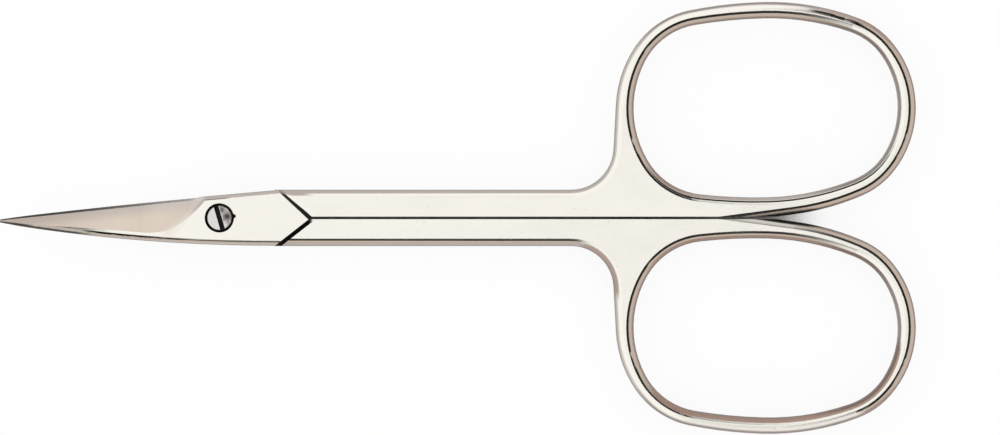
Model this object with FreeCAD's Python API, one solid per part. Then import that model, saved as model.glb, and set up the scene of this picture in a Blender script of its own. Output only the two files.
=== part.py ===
import FreeCAD, Part
import math
import os

from FreeCAD import Vector

# Frame
# The origin lies on the pivot axis, in the back face of the joint, which is the face that rests.
# +X runs to the finger rings, -X to the tips, +Z to the screw head, and the pair is shut.
# Both halves are drawn alike: ring and cutting edge at +Y, inner face at z = 0, outer face above it.
# The rear half is then turned half a turn about X.

# Joint plates
plate_thickness = 1.6
plate_rounding = 0.5
joint_play = 0.08
vee_point_x = 8.95
vee_angle = 38.0
step_angle = 43.0
shoulder_gap = 0.42
step_run = 0.26
ramp_length = 0.45
ramp_drop = 0.07

# Blades
blade_length = 21.5
heel_x = 2.0
heel_run = 0.8
edge_thickness = 0.12
bevel_angle = 25.0
runout_start = 7.5
runout_radius = 12.0
bend_start = 3.0
bend_radius = 70.0
grind_start = 5.3
middle_thickness = 0.86
tip_thickness = 0.2

# Each blade's back, edge and plate, measured from the pair's centre line
front_back_at_joint = 2.74
front_back_at_middle = 1.66
front_back_at_tip = 0.52
front_edge_at_heel = 1.8
front_edge_at_tip = -0.25
front_plate_at_heel = 2.06
rear_back_at_joint = 2.62
rear_back_at_middle = 0.85
rear_back_at_tip = -0.09
rear_edge_at_heel = 2.2
rear_edge_at_tip = 0.35
rear_plate_at_heel = 2.4

# Shanks
shank_half_width = 2.77
handle_thickness = 2.5
centre_gap = 0.26
neck_radius = 4.2

# Finger rings
ring_centre_x = 53.7
ring_hole_length = 26.0
ring_hole_width = 17.6
ring_end_width = 1.75
ring_outer_width = 1.6
ring_inner_width = 1.87
ring_lift = 0.16
ring_tilt = 1.5
flank_angle = 3.0
leave_angle = 7.5
near_corner_shares = (0.82, 0.18)
far_corner_shares = (0.763, 0.15)
corner_round_share = 0.944
rim_round_share = 0.46
rim_chamfer_share = 0.25

# Pivot screw
screw_head_radius = 1.26
screw_head_height = 0.72
screw_head_chamfer = 0.1
screw_shoulder_radius = 0.95
screw_end_radius = 0.75
slot_width = 0.48
slot_depth = 0.42
slot_angle = 16.0
counterbore_radius = 1.44
counterbore_depth = 0.8
nick_radius = 0.2
nick_depth = 0.35
nick_angle = 7.0
running_clearance = 0.03
seat_clearance = 0.01

# One overrun serves all cuts, and one reach takes a cut past the whole object
overrun = 1.0
reach = blade_length + ring_centre_x + ring_hole_length

# Sizes that follow
inner_height = joint_play / 2
plate_top = inner_height + plate_thickness
handle_top = handle_thickness / 2
counterbore_floor = plate_top - counterbore_depth
bevel_slope = math.tan(math.radians(bevel_angle))
joint_x = vee_point_x - shank_half_width / math.tan(math.radians(vee_angle))
step_x = vee_point_x - shank_half_width / math.tan(math.radians(step_angle))
middle_x = -(grind_start + blade_length) / 2
left_x = -blade_length - overrun
right_x = vee_point_x + overrun
hole_half_width = ring_hole_width / 2
rim_half_width = (ring_inner_width + ring_hole_width + ring_outer_width) / 2
ring_least_width = min(ring_end_width, ring_outer_width, ring_inner_width, handle_thickness)
rim_rounding = rim_round_share * ring_least_width
rim_chamfer = rim_chamfer_share * ring_least_width

origin = Vector(0, 0, 0)
x_axis = Vector(1, 0, 0)
z_axis = Vector(0, 0, 1)
right_angle = 90.0
half_turn = 180.0


def line(start, end):
    return Part.LineSegment(start, end).toShape()


def arc_about(centre, start, end):
    outward = (start - centre) + (end - centre)
    return Part.Arc(start, centre + outward.normalize() * (start - centre).Length, end).toShape()


def prism(edges, along):
    return Part.Face(Part.Wire(edges)).extrude(along)


def polygon(points):
    return [line(a, b) for a, b in zip(points, points[1:] + points[:1])]


def upright(radius, bottom, top):
    return Part.makeCylinder(radius, top - bottom, Vector(0, 0, bottom))


def straight(x, x_a, y_a, x_b, y_b):
    return y_a + (y_b - y_a) * (x - x_a) / (x_b - x_a)


# A long prism on one arm of the joint's vee, at an angle to the centre line.
# side is +1 for the arm at +Y and -1 for the arm at -Y.
# The section gives distances to the right of the arm, and heights.
def prism_on_vee(section, side, angle):
    points = [Vector(across, -reach, height) for across, height in section]
    solid = prism(polygon(points), Vector(0, reach + reach, 0))
    solid.rotate(origin, z_axis, side * (right_angle - angle))
    solid.translate(Vector(vee_point_x, 0, 0))
    return solid


# One quarter of an oval, drawn at +X +Y: a side arc, a corner arc and an end arc that run into each other.
# The hub of the corner arc is the same for a finger hole and for the rim around it.
# Its shares of the hole's half width are its distance from the hole's end and from the middle line.
class Quarter:
    def __init__(self, half_length, half_width, corner_shares):
        from_end, from_middle = [share * hole_half_width for share in corner_shares]
        self.hub = Vector(ring_hole_length / 2 - from_end, from_middle, 0)
        end_room = half_length - self.hub.x
        side_room = half_width - self.hub.y
        radius = corner_round_share * min(end_room, side_room)
        self.end_radius = (self.hub.y**2 + end_room**2 - radius**2) / (end_room - radius) / 2
        self.side_radius = (self.hub.x**2 + side_room**2 - radius**2) / (side_room - radius) / 2
        self.end_hub = Vector(half_length - self.end_radius, 0, 0)
        self.side_hub = Vector(0, half_width - self.side_radius, 0)
        self.end_join = self.hub + (self.hub - self.end_hub).normalize() * radius
        self.side_join = self.hub + (self.hub - self.side_hub).normalize() * radius


# An oval that is blunter at the near end, -1 across, than at the far end, +1 across
class Oval:
    def __init__(self, centre, half_length, half_width):
        self.centre = centre
        self.side_middle = Vector(0, half_width, 0)
        self.quarters = {
            -1: Quarter(half_length, half_width, near_corner_shares),
            1: Quarter(half_length, half_width, far_corner_shares),
        }

    # Puts a point of the quarter at +X +Y into any quarter
    def place(self, point, across, up):
        turned = FreeCAD.Rotation(z_axis, ring_tilt).multVec(Vector(point.x * across, point.y * up, 0))
        return self.centre + turned

    def corner_arc(self, across, up):
        quarter = self.quarters[across]
        points = [self.place(p, across, up) for p in (quarter.hub, quarter.end_join, quarter.side_join)]
        return arc_about(points[0], points[1], points[2])

    def side_arc(self, across, up):
        quarter = self.quarters[across]
        points = [self.place(p, across, up) for p in (quarter.side_hub, self.side_middle, quarter.side_join)]
        return arc_about(points[0], points[1], points[2])

    def end_arc(self, across):
        quarter = self.quarters[across]
        start = self.place(quarter.end_join, across, -1)
        end = self.place(quarter.end_join, across, 1)
        return arc_about(self.place(quarter.end_hub, across, 1), start, end)

    def edges(self):
        upper = [self.corner_arc(1, 1), self.side_arc(1, 1), self.side_arc(-1, 1), self.corner_arc(-1, 1)]
        lower = [self.corner_arc(-1, -1), self.side_arc(-1, -1), self.side_arc(1, -1), self.corner_arc(1, -1)]
        return upper + [self.end_arc(-1)] + lower + [self.end_arc(1)]


hole_centre = Vector(ring_centre_x, ring_lift + ring_inner_width + hole_half_width, 0)
rim_centre = Vector(ring_centre_x, ring_lift + rim_half_width, 0)
hole = Oval(hole_centre, ring_hole_length / 2, hole_half_width)
rim = Oval(rim_centre, ring_hole_length / 2 + ring_end_width, rim_half_width)


# Outline of one shank and ring.
# The neck arc runs from the shank into a straight flank of the ring.
# The line below leaves the ring at a small angle and sinks past the centre line, where it is cut off.
def handle_edges():
    flank = math.radians(flank_angle)
    flank_out = Vector(-math.cos(flank), math.sin(flank), 0)
    flank_down = Vector(-math.sin(flank), -math.cos(flank), 0)
    near = rim.quarters[-1]
    near_hub = rim.place(near.end_hub, -1, 1)
    flank_top = near_hub + flank_out * near.end_radius
    neck_y = shank_half_width + neck_radius
    beside = flank_top + flank_out * neck_radius
    neck_hub = beside + flank_down * ((beside.y - neck_y) / math.cos(flank))
    neck_start = Vector(neck_hub.x, shank_half_width, 0)
    neck_end = neck_hub - flank_out * neck_radius

    leave = math.radians(leave_angle)
    far = rim.quarters[1]
    low_hub = rim.place(far.side_hub, 1, -1)
    leave_point = low_hub + Vector(math.sin(leave), -math.cos(leave), 0) * far.side_radius
    shank_start = Vector(-heel_x, shank_half_width, 0)
    low_start = Vector(-heel_x, leave_point.y - (leave_point.x + heel_x) * math.tan(leave), 0)
    return [
        line(shank_start, neck_start),
        arc_about(neck_hub, neck_start, neck_end),
        line(neck_end, flank_top),
        arc_about(near_hub, flank_top, rim.place(near.end_join, -1, 1)),
        rim.corner_arc(-1, 1),
        rim.side_arc(-1, 1),
        rim.side_arc(1, 1),
        rim.corner_arc(1, 1),
        rim.end_arc(1),
        rim.corner_arc(1, -1),
        arc_about(low_hub, rim.place(far.side_join, 1, -1), leave_point),
        line(leave_point, low_start),
        line(low_start, shank_start),
    ]


# The edges round one face of a shank and ring, up is +1 for the upper face and -1 for the lower
def rims(solid, up):
    return [
        edge
        for edge in solid.Edges
        if edge.BoundBox.XMax > rim_rounding - heel_x
        and min(up * edge.BoundBox.ZMin, up * edge.BoundBox.ZMax) > handle_top - rim_chamfer / 2
    ]


# Shank and finger ring, cut to the centre line and to the shoulder of the joint.
# The rims are rounded on the pair's front, at +1 or -1 here, and chamfered on its back.
def handle(front):
    rise = Vector(0, 0, handle_thickness)
    solid = prism(handle_edges(), rise).cut(prism(hole.edges(), rise))
    solid.translate(Vector(0, 0, -handle_top))
    solid = solid.makeFillet(rim_rounding, rims(solid, front))
    solid = solid.makeChamfer(rim_chamfer, rims(solid, -front))
    solid = solid.cut(Part.makeBox(reach, reach, reach, Vector(-heel_x, centre_gap / 2 - reach, -reach / 2)))
    left_end = [(0, -reach), (0, reach), (-reach, reach), (-reach, -reach)]
    shoulder = [
        (shoulder_gap, -reach),
        (shoulder_gap, inner_height),
        (-reach, inner_height),
        (-reach, -reach),
    ]
    ramp = [
        (-ramp_length, handle_top - ramp_drop - ramp_drop),
        (ramp_length, handle_top),
        (ramp_length, handle_top + overrun),
        (-ramp_length, handle_top + overrun),
    ]
    for section, angle in ((left_end, vee_angle), (shoulder, vee_angle), (ramp, step_angle)):
        solid = solid.cut(prism_on_vee(section, 1, angle))
    return solid


# Joint plate and blade of one half.
# bend is +1 where the blade curves towards its own outer face and -1 where it curves the other way.
class Blade:
    def __init__(
        self, bend, back_at_joint, back_at_middle, back_at_tip, edge_at_heel, edge_at_tip, plate_at_heel
    ):
        self.bend = bend
        self.edge_at_heel = edge_at_heel
        self.edge_at_tip = edge_at_tip
        self.plate_at_heel = plate_at_heel
        self.back = Part.Circle(
            Vector(joint_x, -back_at_joint, 0),
            Vector(middle_x, -back_at_middle, 0),
            Vector(-blade_length, -back_at_tip, 0),
        )

    def edge_y(self, x):
        return straight(x, -heel_x, self.edge_at_heel, -blade_length, self.edge_at_tip)

    def plate_point(self, x):
        return Vector(x, straight(x, step_x, shank_half_width, -heel_x, self.plate_at_heel), 0)

    def back_point(self, x):
        sink = math.sqrt(self.back.Radius**2 - (x - self.back.Center.x)**2)
        return Vector(x, self.back.Center.y - sink, 0)

    # Height of the inner face
    def inner_z(self, x):
        run = min(x + bend_start, 0)
        return inner_height + self.bend * (bend_radius - math.sqrt(bend_radius**2 - run**2))

    # A prism across the whole width, under or over a chain of edges in the side view
    def across(self, chain, level):
        start = chain[0].Vertexes[0].Point
        end = chain[-1].Vertexes[-1].Point
        closing = [start, end, Vector(end.x, 0, level), Vector(start.x, 0, level)]
        solid = prism(chain + polygon(closing)[1:], Vector(0, reach + reach, 0))
        solid.translate(Vector(0, -reach, 0))
        return solid

    # Blank: an arc along the back, flat on the plate and thinner towards the tip.
    # It is left deep on the inner side until the back has been rounded.
    def blank(self):
        plan = [
            Part.Arc(self.back_point(left_x), self.back_point(middle_x), self.back_point(right_x)).toShape(),
            line(self.back_point(right_x), self.plate_point(right_x)),
            line(self.plate_point(right_x), self.plate_point(left_x)),
            line(self.plate_point(left_x), self.back_point(left_x)),
        ]
        solid = prism(plan, Vector(0, 0, reach))
        solid.translate(Vector(0, 0, -reach / 2))
        taper = Part.BSplineCurve()
        taper.interpolate(
            Points=[
                Vector(-grind_start, 0, plate_top),
                Vector(middle_x, 0, self.inner_z(middle_x) + middle_thickness),
                Vector(left_x, 0, self.inner_z(left_x) + tip_thickness),
            ],
            InitialTangent=-x_axis,
        )
        flat = line(Vector(right_x, 0, plate_top), taper.StartPoint)
        solid = solid.cut(self.across([flat, taper.toShape()], reach))
        backs = [
            edge
            for edge in solid.Edges
            if edge.BoundBox.XLength > plate_rounding
            and edge.BoundBox.ZMax > overrun - reach / 2
            and edge.CenterOfMass.y < 0
        ]
        return solid.makeFillet(plate_rounding, backs)

    # The plate, with its outer edge rounded from the joint to the heel
    def plate(self, blank, ahead):
        solid = blank.common(ahead)
        outer = [
            edge
            for edge in solid.Edges
            if edge.BoundBox.ZMin > plate_top - plate_rounding
            and edge.BoundBox.XLength > heel_x
            and edge.BoundBox.YMin > self.plate_at_heel / 2
        ]
        return solid.makeFillet(plate_rounding, outer)

    # The blade behind the heel, narrowed over a short run to its cutting edge
    def narrowed(self, blank, ahead):
        end_x = left_x - overrun
        edge_start = -heel_x - heel_run
        outside = [
            Vector(-heel_x, self.plate_at_heel, -reach / 2),
            Vector(-heel_x, reach, -reach / 2),
            Vector(end_x, reach, -reach / 2),
            Vector(end_x, self.edge_y(end_x), -reach / 2),
            Vector(edge_start, self.edge_y(edge_start), -reach / 2),
        ]
        return blank.cut(ahead).cut(prism(polygon(outside), Vector(0, 0, reach)))

    # Everything below the inner face, which is flat on the plate and one arc along the blade
    def below(self):
        bend_from = Vector(-bend_start, 0, inner_height)
        bend_to = Vector(left_x, 0, self.inner_z(left_x))
        hub = Vector(-bend_start, 0, inner_height + self.bend * bend_radius)
        return self.across(
            [line(Vector(right_x, 0, inner_height), bend_from), arc_about(hub, bend_from, bend_to)], -reach
        )

    # Everything above the outer bevel, with the grinding wheel's run-out towards the plate.
    # The section is drawn at y = 0 and slides down along the bevel towards the cutting edge.
    def bevel(self):

        def foot(x):
            return Vector(x, 0, self.inner_z(x) + edge_thickness + self.edge_y(x) * bevel_slope)

        ground = Part.Arc(foot(left_x), foot(middle_x), foot(-runout_start))
        along = ground.tangent(ground.LastParameter)[0]
        hub = foot(-runout_start) + Vector(-along.z, 0, along.x) * runout_radius
        runout_end = hub + x_axis * runout_radius
        high = Vector(runout_end.x, 0, reach)
        section = [
            ground.toShape(),
            arc_about(hub, foot(-runout_start), runout_end),
            line(runout_end, high),
            line(high, Vector(left_x, 0, reach)),
            line(Vector(left_x, 0, reach), foot(left_x)),
        ]
        slide = Vector(0, reach, -reach * bevel_slope)
        solid = prism(section, slide + slide)
        solid.translate(-slide)
        return solid

    # The joint end of the plate: a plain slanting end at -Y, and at +Y a leaning step above the shank
    def ends(self):
        plain = [(0, -reach), (reach, -reach), (reach, reach), (0, reach)]
        step_foot = handle_top - ramp_drop
        lean = step_run / (plate_top - step_foot)
        leaning = [
            (0, -reach),
            (reach, -reach),
            (reach, plate_top + overrun),
            (-lean * (plate_top + overrun - step_foot), plate_top + overrun),
            (0, step_foot),
        ]
        return [prism_on_vee(plain, -1, vee_angle), prism_on_vee(leaning, 1, step_angle)]

    def solid(self):
        blank = self.blank()
        ahead = Part.makeBox(reach, reach, reach, Vector(-heel_x, -reach / 2, -reach / 2))
        beyond = Part.makeBox(reach, reach, reach, Vector(-blade_length - reach, -reach / 2, -reach / 2))
        solid = self.plate(blank, ahead).fuse(self.narrowed(blank, ahead))
        for tool in [self.below(), self.bevel(), beyond] + self.ends():
            solid = solid.cut(tool)
        return solid


# The half under the screw head: a counterbore for the head, a small nick in the counterbore's wall
# and a running fit on the screw's shoulder
def front_half():
    blade = Blade(
        1,
        front_back_at_joint,
        front_back_at_middle,
        front_back_at_tip,
        front_edge_at_heel,
        front_edge_at_tip,
        front_plate_at_heel,
    )
    solid = blade.solid().fuse(handle(1))
    solid = solid.cut(upright(screw_shoulder_radius + running_clearance, -overrun, plate_top + overrun))
    solid = solid.cut(upright(counterbore_radius, counterbore_floor, plate_top + overrun))
    nick = upright(nick_radius, plate_top - nick_depth, plate_top + overrun)
    nick.translate(Vector(counterbore_radius, 0, 0))
    nick.rotate(origin, z_axis, nick_angle)
    solid = solid.cut(nick)
    solid.translate(Vector(0, 0, plate_top))
    return solid


# The half that holds the screw's end
def rear_half():
    blade = Blade(
        -1,
        rear_back_at_joint,
        rear_back_at_middle,
        rear_back_at_tip,
        rear_edge_at_heel,
        rear_edge_at_tip,
        rear_plate_at_heel,
    )
    solid = blade.solid().fuse(handle(-1))
    solid = solid.cut(upright(screw_end_radius + seat_clearance, -overrun, plate_top + overrun))
    solid.rotate(origin, x_axis, half_turn)
    solid.translate(Vector(0, 0, plate_top))
    return solid


# Slotted screw: head in the counterbore, shoulder as the hinge pin, plain end flush in the rear half
def pivot_screw():
    shoulder_foot = plate_top - inner_height
    seat = plate_top + counterbore_floor + seat_clearance
    head_top = seat + screw_head_height
    head = upright(screw_head_radius, seat, head_top)
    rims = [edge for edge in head.Edges if edge.BoundBox.ZMin > seat + screw_head_height / 2]
    head = head.makeChamfer(screw_head_chamfer, rims)
    slot_corner = Vector(-slot_width / 2, -reach / 2, head_top - slot_depth)
    slot = Part.makeBox(slot_width, reach, reach, slot_corner)
    slot.rotate(origin, z_axis, slot_angle)
    shoulder = upright(screw_shoulder_radius, shoulder_foot, seat)
    end = upright(screw_end_radius, 0, shoulder_foot)
    return head.cut(slot).fuse([shoulder, end]).removeSplitter()


os.makedirs("parts", exist_ok=True)
front_half().exportStep("parts/front_half.step")
rear_half().exportStep("parts/rear_half.step")
pivot_screw().exportStep("parts/pivot_screw.step")
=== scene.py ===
import functools
import math
import operator

import bpy
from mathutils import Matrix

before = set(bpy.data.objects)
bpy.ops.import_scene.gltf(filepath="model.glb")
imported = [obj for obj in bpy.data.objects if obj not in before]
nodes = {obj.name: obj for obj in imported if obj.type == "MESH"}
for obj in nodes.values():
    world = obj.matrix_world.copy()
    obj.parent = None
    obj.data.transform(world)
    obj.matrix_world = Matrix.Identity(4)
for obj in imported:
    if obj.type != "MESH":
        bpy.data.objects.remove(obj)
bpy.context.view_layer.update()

print("frame:", sorted(nodes))

mmPerMetre = 1000.0


class Wire:  # one socket of a node tree; arithmetic on it adds Math nodes
    noiseMiddle = 0.5

    def __init__(self, tree, socket=None):
        self.tree = tree
        self.socket = socket

    def add(self, kind, settings=None, links=None, out=0):  # any node: settings first, then values or links
        node = self.tree.nodes.new(kind)
        for key, value in (settings or {}).items():
            setattr(node, key, value)
        for key, value in (links or {}).items():
            if isinstance(value, Wire):
                self.tree.links.new(value.socket, node.inputs[key])
            else:
                node.inputs[key].default_value = value
        return Wire(self.tree, node.outputs[out]) if len(node.outputs) else Wire(self.tree)

    def take(self, name):  # another output of the same node
        return Wire(self.tree, self.socket.node.outputs[name])

    def math(self, operation, *values):
        return self.add("ShaderNodeMath", {"operation": operation}, dict(enumerate(values)))

    def __add__(self, other):
        return self.math("ADD", self, other)

    def __radd__(self, other):
        return self.math("ADD", other, self)

    def __sub__(self, other):
        return self.math("SUBTRACT", self, other)

    def __rsub__(self, other):
        return self.math("SUBTRACT", other, self)

    def __mul__(self, other):
        return self.math("MULTIPLY", self, other)

    def __rmul__(self, other):
        return self.math("MULTIPLY", other, self)

    def __truediv__(self, other):
        return self.math("DIVIDE", self, other)

    def __rtruediv__(self, other):
        return self.math("DIVIDE", other, self)

    def __or__(self, other):  # either of two masks
        return self.math("MAXIMUM", self, other)

    def __ror__(self, other):
        return self.math("MAXIMUM", other, self)

    def __abs__(self):
        return self.math("ABSOLUTE", self)

    def hypot(self, other):
        return self.math("SQRT", self * self + other * other)

    def step(self, low, high):  # 0 at low, 1 at high, smooth between; low may be the larger
        return self.add("ShaderNodeMapRange", {"interpolation_type": "SMOOTHSTEP"},
                        {"Value": self, "From Min": low, "From Max": high})

    def between(self, low, high, soft):  # 1 from low to high, 0 outside
        return self.step(low - soft, low) * self.step(high + soft, high)

    def sway(self, amount):  # a noise as a swing of this amount about 0
        return (self - self.noiseMiddle) * amount

    def mix(self, first, second):  # this value blends two colours
        return self.add("ShaderNodeMix", {"data_type": "RGBA"}, {0: self, 6: first, 7: second}, out=2)

    def blend(self, first, second):  # this value blends two numbers
        return self.add("ShaderNodeMix", {"data_type": "FLOAT"}, {0: self, 2: first, 3: second})

    def split(self):
        parts = self.add("ShaderNodeSeparateXYZ", {}, {0: self})
        return parts.take("X"), parts.take("Y"), parts.take("Z")

    def noise(self, coords, grain):  # about 0 to 1; grain is three scales, one per coord, and the detail
        *scales, detail = grain
        scaled = [coord * scale for coord, scale in zip(coords, scales)]
        place = self.add("ShaderNodeCombineXYZ", {}, dict(enumerate(scaled)))
        return self.add("ShaderNodeTexNoise", {}, {"Vector": place, "Scale": 1.0, "Detail": detail})


# one soft mask: a pair of numbers is a step from 0 to 1, three are a band and its softness
def where(coords, spans):
    parts = []
    for key, span in spans.items():
        soften = coords[key].step if len(span) == 2 else coords[key].between
        parts.append(soften(*span))
    return functools.reduce(operator.mul, parts)


def newMaterial(name):
    material = bpy.data.materials.new(name)
    material.use_nodes = True
    material.node_tree.nodes.clear()
    return material, Wire(material.node_tree)


def finishSurface(wire, look, colour, metal, rough, height):
    bump = wire.add("ShaderNodeBump", {}, {
        "Strength": look["bumpStrength"], "Distance": look["bumpDistance"], "Height": height})
    shader = wire.add("ShaderNodeBsdfPrincipled", {}, {
        "Base Color": colour, "Metallic": metal, "Roughness": rough, "Normal": bump})
    wire.add("ShaderNodeOutputMaterial", {}, {"Surface": shader})


def dress(node, material):
    slots = nodes[node].data.materials
    slots.clear()
    slots.append(material)
    print("dressed:", node, "in", material.name)


# what the metal mirrors: white overhead and to the left, a dark strip and then a warm grey wall to the right
studio = {
    "white": (1.0, 1.0, 1.0, 1.0),
    "strip": (0.01, 0.008, 0.007, 1.0),
    "wall": (0.56, 0.48, 0.43, 1.0),
    "horizon": (0.6, 0.56, 0.53, 1.0),
    "strength": 1.0,
    "towards": -12.0,              # degrees from +X to the middle of the strip and the wall
    "towardsFade": (-0.15, 0.12),  # cosines of the angle from there at which both begin
    "levelGuard": 1e-4,            # keeps the division safe at the zenith
    "stripStart": (3.0, 7.0),      # degrees from the zenith, as are the next two
    "wallStart": (33.0, 43.0),
    "horizonFade": (55.0, 85.0),
}


def buildWorld():
    world = bpy.data.worlds.new("studio")
    bpy.context.scene.world = world
    world.use_nodes = True
    world.node_tree.nodes.clear()
    wire = Wire(world.node_tree)
    x, y, z = wire.add("ShaderNodeTexCoord", out="Generated").split()
    tilt = wire.math("ARCCOSINE", z) * math.degrees(1.0)
    lean = math.radians(studio["towards"])
    along = (x * math.cos(lean) + y * math.sin(lean)) / (x.hypot(y) + studio["levelGuard"])
    towards = along.step(*studio["towardsFade"])
    strip = tilt.step(*studio["stripStart"]) * towards
    wall = tilt.step(*studio["wallStart"]) * towards
    colour = tilt.step(*studio["horizonFade"]).mix(studio["white"], studio["horizon"])
    colour = strip.mix(colour, studio["strip"])
    colour = wall.mix(colour, studio["wall"])
    mirrored = wire.add("ShaderNodeBackground", {}, {"Color": colour, "Strength": studio["strength"]})
    plain = wire.add("ShaderNodeBackground", {}, {"Color": studio["white"], "Strength": studio["strength"]})
    ray = wire.add("ShaderNodeLightPath")
    glossy = ray.take("Is Glossy Ray") | ray.take("Is Transmission Ray")
    both = wire.add("ShaderNodeMixShader", {}, {0: glossy, 1: plain, 2: mirrored})
    wire.add("ShaderNodeOutputWorld", {}, {"Surface": both})
    print("studio: soft white light, mirrored surroundings")


floorLook = {
    "halfSide": 1.5,                      # m
    "colour": (0.98, 0.98, 0.98, 1.0),
    "gapShade": (0.2, 0.18, 0.17, 1.0),  # painted shade on the floor in narrow gaps of the part
    "white": (1.0, 1.0, 1.0, 1.0),
    "strength": 1.0,
    "lift": 0.9,                          # share of plain white in what is seen, the rest keeps the shadow
    "shadeReach": 0.004,                  # m, how close the part has to be to close off the floor
    "shadeSamples": 16,
    "gapShadeOpen": (0.02, 0.25),              # openness at which the floor's colour takes over from the painted shade
    "liftOpen": (0.12, 0.35),             # openness at which the lift begins
}


def buildFloor():
    look = floorLook
    side = look["halfSide"]
    corners = [(-side, -side, 0), (side, -side, 0), (side, side, 0), (-side, side, 0)]
    mesh = bpy.data.meshes.new("floor")
    mesh.from_pydata(corners, [], [(0, 1, 2, 3)])
    floor = bpy.data.objects.new("floor", mesh)
    bpy.context.scene.collection.objects.link(floor)
    material, wire = newMaterial("paleFloor")
    white = wire.add("ShaderNodeEmission", {}, {"Color": look["white"], "Strength": look["strength"]})
    ray = wire.add("ShaderNodeLightPath")
    seen = ray.take("Is Camera Ray") | ray.take("Is Glossy Ray") | ray.take("Is Transmission Ray")
    openness = wire.add("ShaderNodeAmbientOcclusion", {"samples": look["shadeSamples"]},
                        {"Distance": look["shadeReach"]}, out="AO")
    # painted shade: a dark floor colour where the part closes off the floor
    paintedGapShade = wire.add("ShaderNodeBsdfDiffuse", {}, {"Color": look["gapShade"]})
    paper = wire.add("ShaderNodeBsdfDiffuse", {}, {"Color": look["colour"]})
    ground = wire.add("ShaderNodeMixShader", {}, {0: openness.step(*look["gapShadeOpen"]), 1: paintedGapShade, 2: paper})
    factor = seen * openness.step(*look["liftOpen"]) * look["lift"]
    both = wire.add("ShaderNodeMixShader", {}, {0: factor, 1: ground, 2: white})
    wire.add("ShaderNodeOutputMaterial", {}, {"Surface": both})
    mesh.materials.append(material)
    print("floor: laid")


cameraLook = {
    "pivotPixel": (219.4, 217.9),  # where the pivot axis stands in the photograph
    "metresPerPixel": 0.00009825,  # at the height of facePlane
    "imageSize": (1000.0, 435.0),
    "facePlane": 0.0029,           # m, as are the next two
    "distance": 1.2,
    "clip": (0.01, 10.0),
}


def buildCamera():
    look = cameraLook
    data = bpy.data.cameras.new("camera")
    camera = bpy.data.objects.new("camera", data)
    scale = look["metresPerPixel"]
    width, height = look["imageSize"]
    pivotX, pivotY = look["pivotPixel"]
    data.sensor_fit = "HORIZONTAL"
    data.lens = data.sensor_width * look["distance"] / (width * scale)
    data.clip_start, data.clip_end = look["clip"]
    camera.location = ((width / 2 - pivotX) * scale, (pivotY - height / 2) * scale,
                       look["facePlane"] + look["distance"])
    bpy.context.scene.collection.objects.link(camera)
    bpy.context.scene.camera = camera
    print("camera: overhead")
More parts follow.
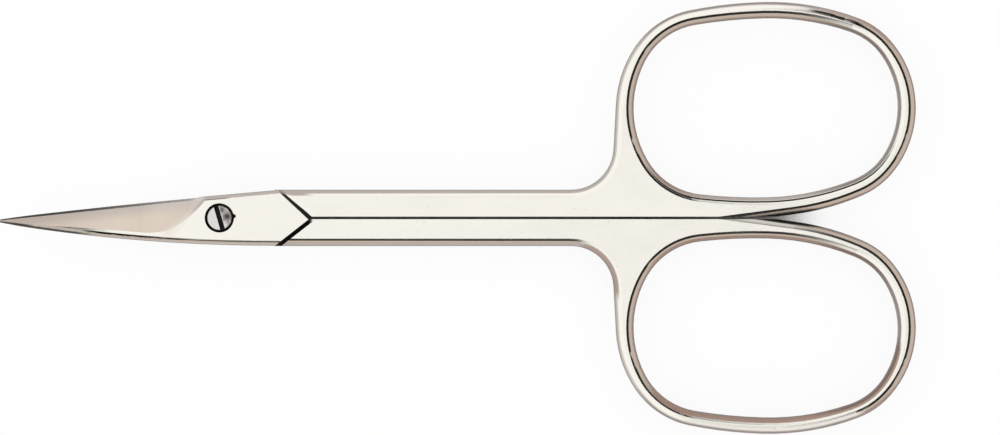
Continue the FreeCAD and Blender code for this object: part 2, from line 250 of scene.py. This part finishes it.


# one half of the pair: polished faces, satin walls with painted reflection and shade, a ground bevel, dull
# inner faces, painted shade in the crevices
# sizes in mm and degrees unless a note says otherwise
steelLook = {
    "jointHeight": 1.64,                    # the plane between the two plates
    "veePoint": 8.95,
    "veeAngle": 38.0, "stepAngle": 43.0,    # from the length to the vee's arms and to the plate's step
    "stepFootGrow": 0.14,                   # the painted shade at the step's foot widens by this towards the vee's point
    "stepFootY": (2.2, 0.2),                # from where to where it widens
    "shoulderGap": 0.42,
    "boreRadius": 1.68,
    "heel": -1.5,                           # where the ground bevel ends
    "edgeSlope": 0.105, "edgeRise": 2.01,   # the cutting edge is about y = slope * x + rise
    "runout": 3.45,                         # the grinding runs out about the line y = x + runout
    "runoutSoft": 0.25, "runoutSpread": 1.5, "runoutY": (1.6, -1.8),
    "farLeanFront": 0.22,                   # how far round its ring each far rim reaches
    "farLeanRear": 0.52,
    "creviceReach": 0.0018,                 # m, how close other steel has to stand to paint shade on a wall
    "creviceSamples": 8,

    "polishedLow": (0.88, 0.845, 0.77, 1.0),
    "polishedHigh": (1.0, 0.98, 0.91, 1.0),
    "polishedMiddle": 0.5, "polishedLines": 0.06, "polishedClouds": 0.07,
    # satin walls: a duller grey of their own that also stands in for a painted grey reflection on steep
    # sides
    "wall": (0.54, 0.485, 0.445, 1.0),
    # painted warm reflection on walls facing right or down
    "wallReflectedTan": (0.405, 0.28, 0.225, 1.0),
    "wallShare": 0.94, "wallLines": 0.12,
    # painted shade on the steepest part of the walls, warm under the painted warm reflection
    "foot": (0.25, 0.215, 0.19, 1.0),
    "footTan": (0.12, 0.085, 0.07, 1.0),
    # painted shade: thin dark lines along some edges
    "shadeLine": (0.07, 0.055, 0.047, 1.0),
    "heelLineShare": 0.8, "rightHoleShare": 0.5, "neckWarmShare": 0.7,
    "groundTip": (1.0, 0.9, 0.79, 1.0),
    "groundHeel": (0.76, 0.665, 0.575, 1.0),
    "groundEdge": (0.62, 0.59, 0.57, 1.0),
    "groundLine": (0.8, 0.7, 0.62, 1.0),
    "groundEdgeShare": 0.6, "groundLineShare": 0.16, "groundLineStart": (0.25, 0.75),
    "inner": (0.56, 0.53, 0.5, 1.0),
    "innerShare": 0.8, "innerSwirl": 0.3,
    "pit": (0.3, 0.26, 0.23, 1.0),
    "pitShare": 0.35, "pitStart": (0.74, 0.8),
    # painted shade in the step, the bore and the crevices between the halves
    "corner": (0.012, 0.009, 0.008, 1.0),

    "gloss": 0.1, "glossLines": 0.05, "glossClouds": 0.08, "glossHair": 0.03,
    "wallRough": 0.36, "wallRoughLines": 0.1,
    "groundRough": 0.46, "groundRoughGrind": 0.14,
    "innerRough": 0.3, "innerRoughSwirl": 0.16,
    "cornerRough": 0.65,
    "dullMetal": 0.1, "wallDull": 0.65, "farRimDull": 0.9, "cornerMetal": 0.25,
    "bumpStrength": 0.06,
    "bumpDistance": 0.00002,                # m
    "hairHeight": 0.35, "linesHeight": 0.25, "grindHeight": 1.2, "pitDepth": 0.8,

    "grain": {                              # per mm along x, y and z, then the detail
        "lines": (0.5, 9.0, 9.0, 4.0),      # lengthwise polishing
        "hair": (2.0, 45.0, 45.0, 2.0),
        "clouds": (0.16, 0.3, 0.3, 3.0),
        "pits": (6.0, 6.0, 6.0, 1.0),
        "grind": (26.0, 1.6, 1.6, 3.0),     # across the blade
        "swirl": (14.0, 0.4, 0.4, 3.0),     # round the pivot: along the radius, y and x
    },

    "places": {                             # where each finish, painted reflection and painted shade lies, on the coords of steelCoords
        "bevel": {"ny": (0.12, 0.3), "fromHeel": (0.3, -0.2), "nz": (0.2, 0.45)},
        "bevelFade": {"x": (-6.2, -4.6), "fromHeel": (0.3, -0.2), "nz": (0.9, 0.98)},
        "runout": {"fromRunout": (-0.8, 0.8)},
        "groundHeel": {"x": (-11.0, -2.0)},
        "groundEdge": {"fromEdge": (-1.4, -0.1)},
        "innerFace": {"nz": (-0.5, -0.8), "x": (9.2, 8.7)},
        "innerPlate": {"z": (-0.6, -0.2)},
        "innerBlade": {"x": (0.0, -1.0)},

        "wall": {"steep": (0.17, 0.4)},
        "edgeWall": {"steep": (0.1, 0.22), "ny": (0.2, 0.5)},
        "plateEdge": {"steep": (0.015, 0.06), "ny": (0.1, 0.2), "x": (-2.0, 8.0, 1.6), "z": (1.0, 1.15)},
        # painted shade on the steepest part of the walls
        "wallSteepShade": {"steep": (0.3, 0.75)},
        # painted warm reflection: walls facing right, and past the ring's end those facing down
        "warmReflectionRight": {"nx": (-0.1, 0.5)},
        "warmReflectionBelow": {"nyScene": (-0.2, -0.6)},
        "ringEnd": {"x": (41.0, 43.0)},
        # far rims: painted grey reflection over more of their slope, and no warm tan
        "farRim": {"away": (-0.02, 0.06), "ny": (0.0, 0.04), "y": (11.0, 13.0)},
        "farWall": {"steep": (0.12, 0.3)},
        "farSteepShade": {"steep": (0.2, 0.45)},
        "neck": {"x": (36.0, 39.8, 0.8), "y": (3.0, 7.0, 1.5), "nx": (0.0, -0.1)},
        "neckWall": {"steep": (0.02, 0.08)},
        "lowHole": {"ny": (-0.03, -0.12), "y": (11.0, 13.0)},
        "lowHoleWall": {"steep": (0.015, 0.05)},

        # thin dark lines of painted shade along edges
        "tipBack": {"x": (-11.5, -14.5), "ny": (0.02, -0.05)},
        "tipBackLine": {"steep": (0.1, 0.25)},
        "backLine": {"x": (-12.0, -4.5, 1.8), "ny": (0.0, -0.05), "steep": (0.015, 0.07, 0.015)},
        "heelLine": {"x": (-1.9, 0.4, 0.9), "ny": (0.05, 0.12), "steep": (0.02, 0.06, 0.015),
                     "z": (1.0, 1.15)},
        "rightHole": {"nx": (-0.05, -0.2), "x": (57.0, 62.0), "steep": (0.2, 0.5, 0.06)},
        "rimLine": {"x": (58.8, 62.6, 1.2), "y": (16.5, 17.5), "ny": (0.05, 0.15),
                    "steep": (0.03, 0.1, 0.03)},
        "holeFoot": {"ny": (0.1, 0.3), "y": (11.0, 9.5), "steep": (0.05, 0.12, 0.02)},

        # painted shade: the plate's step, the bore, and crevices where other steel stands close
        "stepWall": {"acrossStep": (-0.3, 0.02, 0.01), "z": (1.02, 1.62, 0.01), "steep": (0.05, 0.1),
                     "y": (2.5, 2.25)},
        "stepFoot": {"acrossFoot": (-0.55, 0.02, 0.03), "z": (1.02, 1.62, 0.01), "y": (-0.05, 2.25, 0.1)},
        "bore": {"fromBore": (0.02, 0.0), "z": (0.4, 1.6, 0.02)},
        "root": {"across": (-0.4, -0.05)},
        "shoulder": {"pastGap": (-0.03, 0.03, 0.01), "z": (0.1, 0.0), "steep": (0.3, 0.6)},
        "plainEnd": {"offLowArm": (0.04, 0.02), "z": (0.0, 0.05), "steep": (0.3, 0.6)},
        "slit": {"y": (0.3, 0.22), "x": (8.6, 8.9), "steep": (0.3, 0.7)},
        "wedge": {"ny": (-0.05, -0.2), "y": (1.8, 0.8), "height": (0.2, 0.6)},
        "wedgeFront": {"steep": (0.02, 0.07)},
        "wedgeRear": {"steep": (0.08, 0.2)},
        "crevice": {"openness": (0.92, 0.6)},
        "wedgeShade": {"openness": (1.0, 0.88)},
    },
}


# the half as drawn, ring and cutting edge at +y, outer face at +z; height and nyScene are not turned over
def steelCoords(wire, side):
    look = steelLook
    x, y, z = wire.add("ShaderNodeTexCoord", out="Object").split()
    nx, nyScene, nzScene = wire.add("ShaderNodeTexCoord", out="Normal").split()
    x, y = x * mmPerMetre, y * (mmPerMetre * side)
    height = z * mmPerMetre - look["jointHeight"]
    ny, nz = nyScene * side, nzScene * side
    radius = x.hypot(y)
    ahead = x - look["veePoint"]
    vee = math.radians(look["veeAngle"])
    rise = math.radians(look["stepAngle"])
    across = ahead * math.sin(vee) + y * math.cos(vee)         # to the right of the vee's arm at +y
    acrossLow = ahead * math.sin(vee) - y * math.cos(vee)      # to the right of its arm at -y
    acrossStep = ahead * math.sin(rise) + y * math.cos(rise)   # to the right of the plate's step
    runoutWidth = look["runoutSoft"] + y.step(*look["runoutY"]) * look["runoutSpread"]
    openness = wire.add("ShaderNodeAmbientOcclusion", {"samples": look["creviceSamples"]},
                        {"Distance": look["creviceReach"]}, out="AO")   # low where other steel stands close
    return {
        "x": x, "y": y, "z": height * side, "height": height, "radius": radius,
        "nx": nx, "ny": ny, "nz": nz, "nyScene": nyScene,
        "steep": 1.0 - abs(nz),   # 0 on a level face, 1 on an upright wall
        "across": across, "acrossStep": acrossStep,
        "pastGap": across - look["shoulderGap"],
        "offLowArm": abs(acrossLow),
        "acrossFoot": acrossStep - y.step(*look["stepFootY"]) * look["stepFootGrow"],
        "fromBore": radius - look["boreRadius"],
        "fromHeel": x - look["heel"],
        "fromEdge": y - (x * look["edgeSlope"] + look["edgeRise"]),
        "fromRunout": (y - x - look["runout"]) / runoutWidth,
        "away": ny * look["farLeanFront" if side > 0 else "farLeanRear"] - nx,
        "openness": openness,
    }


def steelWalls(spot, side):  # masks: satin walls, painted shade on their steepest part, painted warm reflection, the far rim, painted shade lines
    look = steelLook
    ringEnd = spot("ringEnd")
    farRim = spot("farRim") * ringEnd
    walls = farRim.blend(spot("wall") | spot("edgeWall") | spot("plateEdge"), spot("farWall"))
    # painted shade on the steepest part of the walls and of the far rims
    foot = spot("wallSteepShade") | (farRim * spot("farSteepShade"))
    # painted warm reflection, left off the far rims
    warmReflection = (spot("warmReflectionRight") | (spot("warmReflectionBelow") * ringEnd)) * (1.0 - farRim)
    # painted shade lines
    shadeLine = spot("backLine") | (spot("tipBack") * spot("tipBackLine"))
    shadeLine = shadeLine | (spot("heelLine") * look["heelLineShare"])
    shadeLine = shadeLine | (spot("rightHole") * look["rightHoleShare"])
    if side > 0:
        shadeLine = shadeLine | spot("rimLine")
    else:
        # the rear half's neck and the underside of its hole also get painted warm reflection
        neck = spot("neck")
        lowHole = spot("lowHole") * ringEnd
        warmReflection = warmReflection | (neck * look["neckWarmShare"]) | lowHole
        walls = walls | (neck * spot("neckWall")) | (lowHole * spot("lowHoleWall"))
    return walls, foot, warmReflection, farRim, shadeLine


def steelCorner(spot, side, inner):  # mask of the painted shade in corners, most only where other steel stands close
    closed = (inner * spot("root")) | spot("shoulder") | spot("plainEnd") | spot("slit")
    wedge = spot("wedge") * spot("ringEnd") * spot("wedgeFront" if side > 0 else "wedgeRear")
    corner = spot("stepWall") | spot("stepFoot") | spot("bore")
    corner = corner | (spot("crevice") * closed) | (spot("wedgeShade") * wedge)
    if side > 0:
        corner = corner | (spot("holeFoot") * spot("ringEnd"))
    return corner


def steelMaterial(name, side):  # side is 1 for the front half, -1 for the rear, which is turned over
    look = steelLook
    material, wire = newMaterial(name)
    coords = steelCoords(wire, side)
    spot = functools.cache(lambda key: where(coords, look["places"][key]))
    along = [coords[key] for key in ("x", "y", "z")]
    around = [coords[key] for key in ("radius", "y", "x")]
    grain = look["grain"]
    lines = wire.noise(along, grain["lines"])
    hair = wire.noise(along, grain["hair"])
    clouds = wire.noise(along, grain["clouds"])
    pits = wire.noise(along, grain["pits"]).step(*look["pitStart"])
    grind = wire.noise(along, grain["grind"])
    swirl = wire.noise(around, grain["swirl"])

    bevel = spot("bevel")
    ground = (bevel | spot("bevelFade")) * spot("runout")
    inner = spot("innerFace") * (spot("innerPlate") | spot("innerBlade"))
    walls, foot, warmReflection, farRim, shadeLine = steelWalls(spot, side)
    corner = steelCorner(spot, side, inner)

    satin = spot("groundHeel").mix(look["groundTip"], look["groundHeel"])
    satin = (spot("groundEdge") * look["groundEdgeShare"]).mix(satin, look["groundEdge"])
    satin = (grind.step(*look["groundLineStart"]) * look["groundLineShare"]).mix(satin, look["groundLine"])
    polished = lines.sway(look["polishedLines"]) + clouds.sway(look["polishedClouds"])
    polished = polished + look["polishedMiddle"]
    colour = polished.mix(look["polishedLow"], look["polishedHigh"])
    wallShare = walls * (look["wallShare"] + look["wallLines"] * lines)
    # painted warm reflection and painted shade on the walls
    colour = wallShare.mix(colour, warmReflection.mix(look["wall"], look["wallReflectedTan"]))
    # painted shade on the steepest part of the walls
    colour = foot.mix(colour, warmReflection.mix(look["foot"], look["footTan"]))
    colour = shadeLine.mix(colour, look["shadeLine"])
    colour = ground.mix(colour, satin)
    colour = (inner * (look["innerShare"] + look["innerSwirl"] * swirl)).mix(colour, look["inner"])
    colour = (pits * look["pitShare"]).mix(colour, look["pit"])
    # painted shade in the corners
    colour = corner.mix(colour, look["corner"])

    rough = look["gloss"] + lines.sway(look["glossLines"]) + clouds.sway(look["glossClouds"])
    rough = rough + look["glossHair"] * hair
    rough = walls.blend(rough, look["wallRough"] + lines.sway(look["wallRoughLines"]))
    rough = bevel.blend(rough, look["groundRough"] + grind.sway(look["groundRoughGrind"]))
    rough = spot("tipBack").blend(rough, look["groundRough"])
    rough = inner.blend(rough, look["innerRough"] + swirl.sway(look["innerRoughSwirl"]))
    rough = corner.blend(rough, look["cornerRough"])
    metal = ((walls * look["wallDull"]) | (farRim * look["farRimDull"])).blend(1.0, look["dullMetal"])
    metal = corner.blend(metal, look["cornerMetal"])

    height = hair * look["hairHeight"] + lines * look["linesHeight"]
    height = bevel.blend(height, grind * look["grindHeight"])
    height = inner.blend(height, swirl) - pits * look["pitDepth"]
    finishSurface(wire, look, colour, metal, rough, height)
    return material


# the slotted screw: turned head, darker and mottled on one side of the slot, with a painted highlight there
# and painted shade in the slot; sizes in mm unless a note says otherwise
screwLook = {
    "headTop": 3.21, "headFoot": 2.5,
    "slotAngle": 16.0,                       # degrees
    "slotWidth": 0.48,
    "turnedLow": (0.78, 0.76, 0.73, 1.0),
    "turnedHigh": (0.95, 0.935, 0.9, 1.0),
    "turnedMiddle": 0.5, "turnedRings": 0.5,
    "dull": (0.2, 0.16, 0.14, 1.0),
    "brown": (0.1, 0.07, 0.06, 1.0),
    # painted shade in the slot and on the head's side
    "slot": (0.008, 0.006, 0.006, 1.0),
    "glintShare": 0.9,                       # how much of the darkening is left out where the painted highlight lies
    "darkerShare": 0.12, "darkerCloud": 0.5, "darkerCloudStart": (0.4, 0.65),
    "spots": {                               # ragged round spots, placed across and along the slot
        "brown": {"place": (0.78, -0.1), "ragged": 0.9, "fade": (0.55, 0.1), "share": 1.0},
        "dull": {"place": (0.42, 0.7), "ragged": 0.7, "fade": (0.42, 0.08), "share": 0.9},
    },
    "rough": 0.2, "roughRings": 0.15, "darkerSideRough": 0.1, "darkerSideRoughFine": 0.2,
    "slotRough": 0.6, "slotMetal": 0.3,
    "bumpStrength": 0.12,
    "bumpDistance": 0.00002,                 # m
    "darkerSideHeight": 1.5,
    "grain": {                               # per mm along each coord, then the detail
        "rings": (16.0, 0.5, 0.5, 3.0),      # along the radius, x and y
        "cloud": (1.7, 1.7, 1.7, 3.0),
        "fine": (7.0, 7.0, 7.0, 2.0),
    },
    "places": {                              # where each finish, the painted shade and the painted highlight lie, on the coords of screwCoords
        "head": {"aboveFoot": (0.0, 0.05)},
        "headWall": {"upright": (0.5, 0.3)},
        "slot": {"offSlot": (0.02, -0.005), "aboveFoot": (0.09, 0.1), "aboveTop": (0.0, -0.01)},
        "glint": {"u": (0.75, 0.4), "v": (-0.25, -0.6)},
        "slotSide": {"pastSlot": (0.0, 0.1)},
    },
}


def screwCoords(wire):
    look = screwLook
    x, y, z = [coord * mmPerMetre for coord in wire.add("ShaderNodeTexCoord", out="Object").split()]
    nz = wire.add("ShaderNodeTexCoord", out="Normal").split()[2]
    turn = math.radians(look["slotAngle"])
    u = x * math.cos(turn) + y * math.sin(turn)   # across the slot
    v = y * math.cos(turn) - x * math.sin(turn)   # along the slot
    halfSlot = look["slotWidth"] / 2
    return {
        "x": x, "y": y, "z": z, "radius": x.hypot(y), "u": u, "v": v,
        "offSlot": abs(u) - halfSlot,
        "pastSlot": u - halfSlot,
        "aboveFoot": z - look["headFoot"],
        "aboveTop": z - look["headTop"],
        "upright": abs(nz),
    }


def screwMaterial():
    look = screwLook
    material, wire = newMaterial("turnedScrewSteel")
    coords = screwCoords(wire)
    spot = functools.cache(lambda key: where(coords, look["places"][key]))
    along = [coords[key] for key in ("x", "y", "z")]
    around = [coords[key] for key in ("radius", "x", "y")]
    rings = wire.noise(around, look["grain"]["rings"])
    cloud = wire.noise(along, look["grain"]["cloud"])
    fine = wire.noise(along, look["grain"]["fine"])

    # painted shade: near black in the slot and on the head's upright side
    slotShade = spot("slot") | (spot("head") * spot("headWall"))
    # the darker side of the head, left bright where the painted highlight (glint) lies
    darkerSide = spot("slotSide") * spot("head") * (1.0 - spot("glint") * look["glintShare"])

    turned = rings.sway(look["turnedRings"]) + look["turnedMiddle"]
    colour = turned.mix(look["turnedLow"], look["turnedHigh"])
    darkerShare = darkerSide * (look["darkerShare"] + look["darkerCloud"] * cloud.step(*look["darkerCloudStart"]))
    colour = darkerShare.mix(colour, look["dull"])
    for tint, patch in look["spots"].items():
        patchU, patchV = patch["place"]
        reach = (coords["u"] - patchU).hypot(coords["v"] - patchV) + cloud.sway(patch["ragged"])
        colour = (darkerSide * reach.step(*patch["fade"]) * patch["share"]).mix(colour, look[tint])
    colour = slotShade.mix(colour, look["slot"])

    rough = look["rough"] + rings.sway(look["roughRings"])
    rough = rough + darkerSide * (look["darkerSideRough"] + look["darkerSideRoughFine"] * fine)
    rough = slotShade.blend(rough, look["slotRough"])
    metal = slotShade.blend(1.0, look["slotMetal"])
    height = rings + darkerSide * fine * look["darkerSideHeight"]
    finishSurface(wire, look, colour, metal, rough, height)
    return material


buildWorld()
buildFloor()
buildCamera()
dress("front_half", steelMaterial("frontNickelSteel", 1))
dress("rear_half", steelMaterial("rearNickelSteel", -1))
dress("pivot_screw", screwMaterial())
bpy.context.scene.view_settings.view_transform = "Standard"
